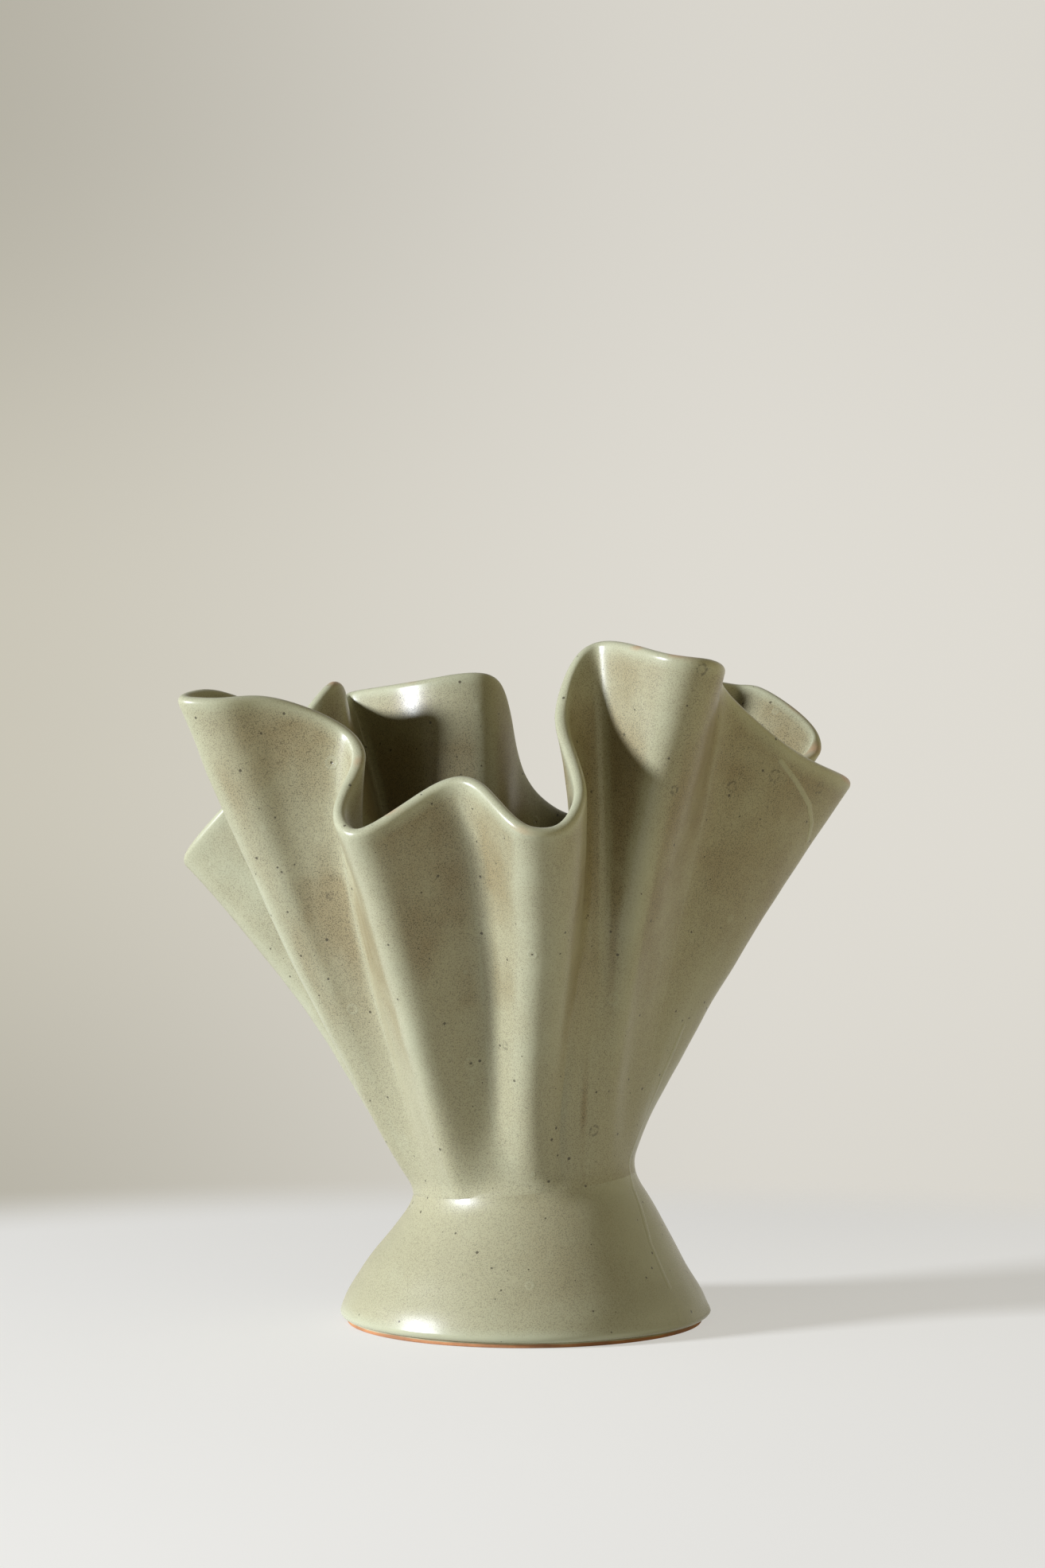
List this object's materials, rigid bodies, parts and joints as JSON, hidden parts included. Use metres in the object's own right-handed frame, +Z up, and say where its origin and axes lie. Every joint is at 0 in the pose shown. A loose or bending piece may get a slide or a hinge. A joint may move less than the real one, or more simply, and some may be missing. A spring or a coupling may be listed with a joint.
{
  "type": "ruffled pedestal vase",
  "caption": "Hand-built ceramic vase: a deeply fluted bowl with a wavy ruffled rim on a hollow conical pedestal foot, green glaze with a bare clay standing ring.",
  "frame": {"origin": "on the table under the middle of the vase, on the axis of its foot", "axes": "+Z up, -Y towards the front of the vase, +X to the right seen from the front"},
  "size_m": [0.2715, 0.2411, 0.2684],
  "materials": {
    "bare_clay": "matte",
    "foot_glaze": "gloss",
    "inside_glaze": "gloss",
    "wall_glaze": "gloss"
  },
  "bodies": {
    "root": {"foot_ring": "bare_clay", "pedestal_foot": "foot_glaze", "bowl_floor": "inside_glaze", "floor_coil": "inside_glaze", "ruffled_wall": "wall_glaze"}
  },
  "joints": []
}
